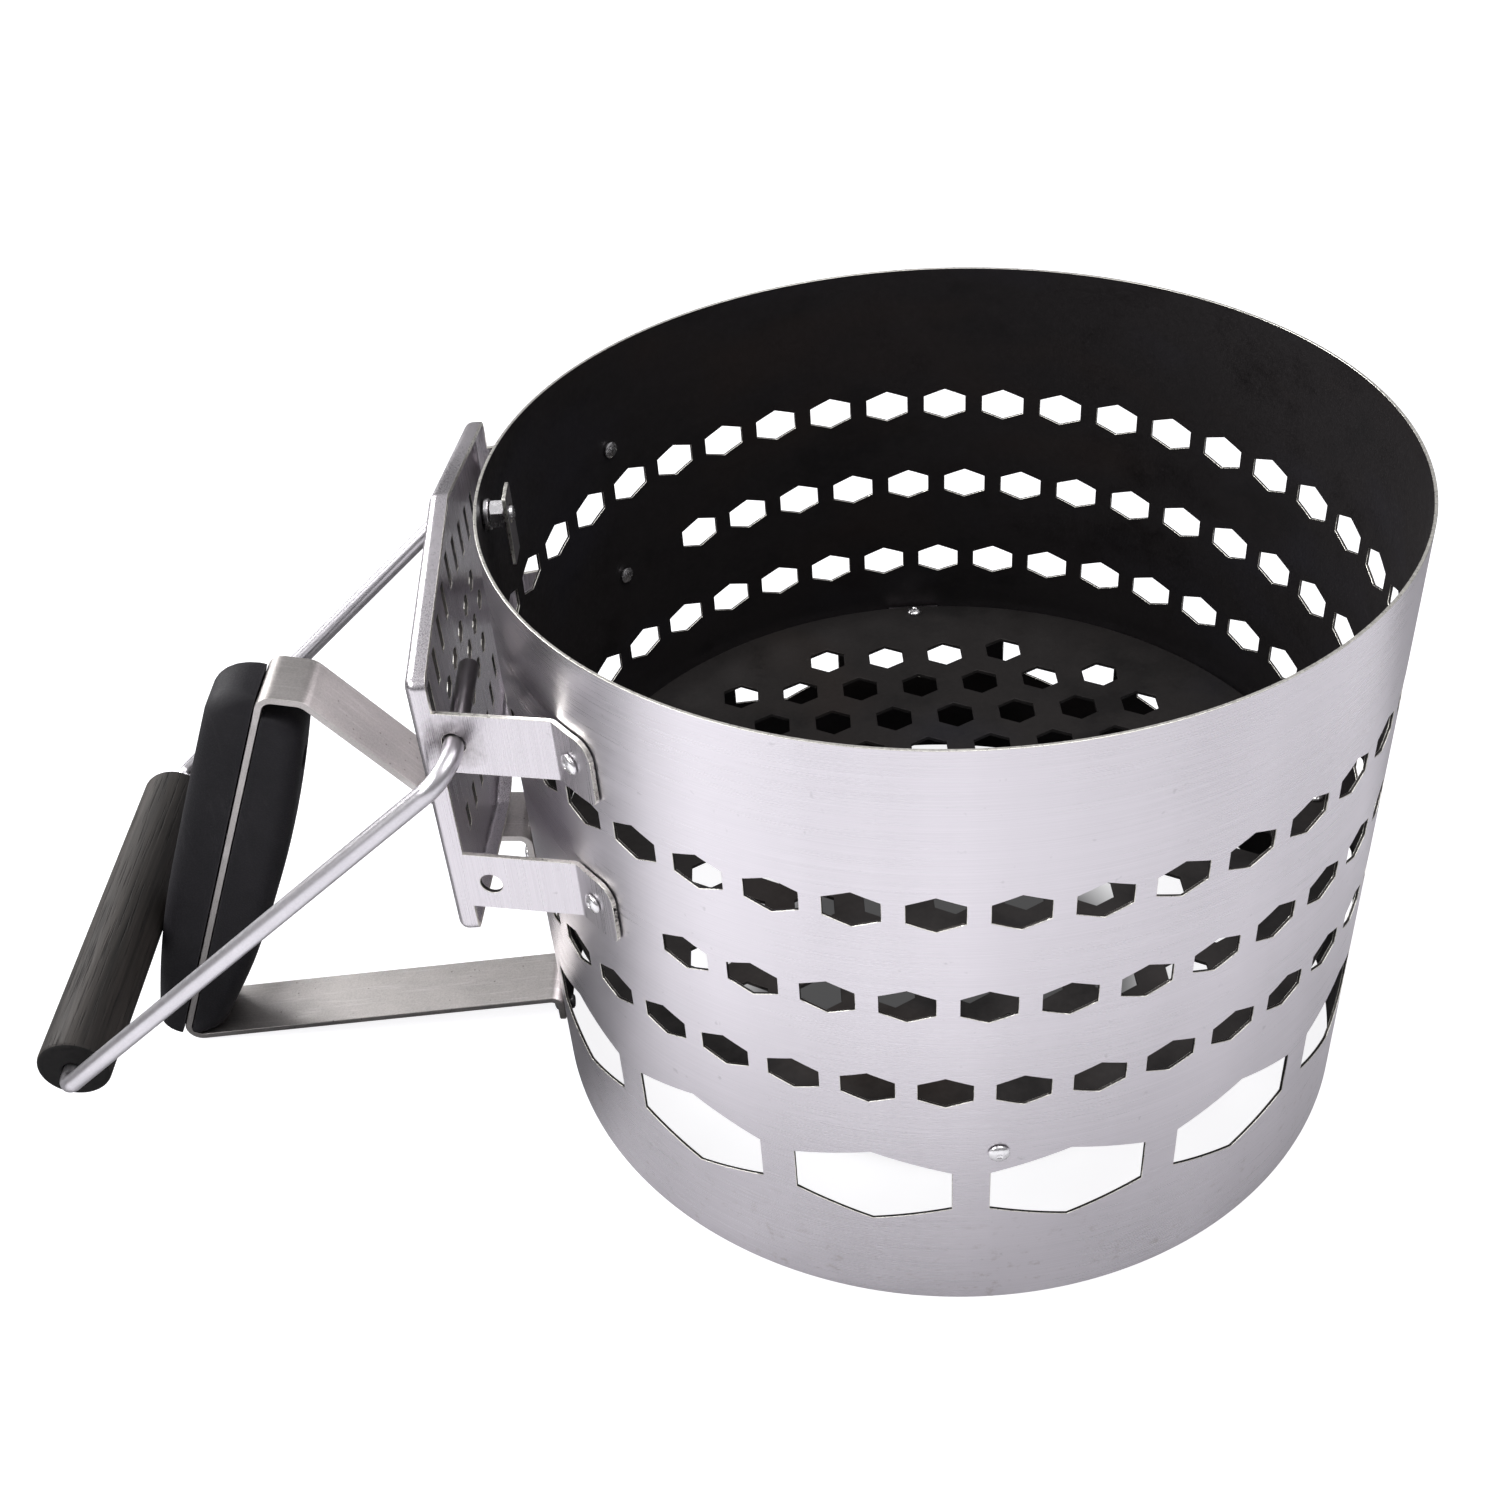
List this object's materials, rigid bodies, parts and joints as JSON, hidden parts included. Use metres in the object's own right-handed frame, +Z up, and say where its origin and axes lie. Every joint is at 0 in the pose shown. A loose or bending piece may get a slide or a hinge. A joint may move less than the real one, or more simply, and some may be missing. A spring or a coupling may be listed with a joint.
{
  "type": "chimney charcoal starter",
  "caption": "Perforated steel drum with a charcoal grate, riveted heat shield, strap handle with a two-part grip, and a swinging wire bail with a wooden spool.",
  "frame": {"origin": "centre of the footprint (drum, handle and bail at rest), in the plane that the drum's lower rim stands on; the drum's axis is at X = 0.0813 m", "axes": "+Z up along the drum's axis; the handle points along -X; +Y completes the right-handed frame"},
  "size_m": [0.4462, 0.2836, 0.219],
  "materials": {
    "sheet_steel": "brushed sheet, bare",
    "strap_steel": "satin flat bar",
    "wire_steel": "drawn wire, satin",
    "fastener_steel": "bright rivets and screws",
    "grate_steel": "sheet darkened by heat",
    "grip_plastic": "matte black, fine texture",
    "spool_wood": "dark stained, streaky grain"
  },
  "bodies": {
    "drum": {"drum_shell": "sheet_steel", "heat_shield": "sheet_steel", "handle_strap": "strap_steel", "grip_outer_half": "grip_plastic", "grip_inner_half": "grip_plastic", "grip_screw_lower": "fastener_steel", "grip_screw_upper": "fastener_steel", "charcoal_grate": "grate_steel", "grate_bracket_front": "sheet_steel", "grate_bracket_right": "sheet_steel", "grate_bracket_back": "sheet_steel", "grate_bracket_left": "sheet_steel", "grate_rivet_front": "fastener_steel", "grate_rivet_right": "fastener_steel", "grate_rivet_back": "fastener_steel", "grate_rivet_left": "fastener_steel", "bracket_rivet_right": "fastener_steel", "bracket_rivet_back": "fastener_steel", "bracket_rivet_left": "fastener_steel", "shield_rivet_upper_right": "fastener_steel", "shield_rivet_upper_left": "fastener_steel", "shield_rivet_lower_right": "fastener_steel", "shield_rivet_lower_left": "fastener_steel", "strap_rivet_upper_right": "fastener_steel", "strap_rivet_upper_left": "fastener_steel", "strap_rivet_lower_right": "fastener_steel", "strap_rivet_lower_left": "fastener_steel", "plate_screw": "fastener_steel", "plate_washer": "fastener_steel", "plate_spacer_nut": "fastener_steel", "inner_plate": "sheet_steel"},
    "bail": {"bail_wire": "wire_steel"},
    "spool": {"bail_spool": "spool_wood"}
  },
  "joints": [
    {"name": "bail_swing", "type": "hinge", "parent": "drum", "child": "bail", "pos_m": [-0.0623, 0, 0.183], "axis": [0, 1, 0], "range_deg": [0, 168]},
    {"name": "spool_spin", "type": "hinge", "parent": "bail", "child": "spool", "pos_m": [-0.2111, 0, 0.055], "axis": [0, 1, 0], "continuous": true}
  ]
}
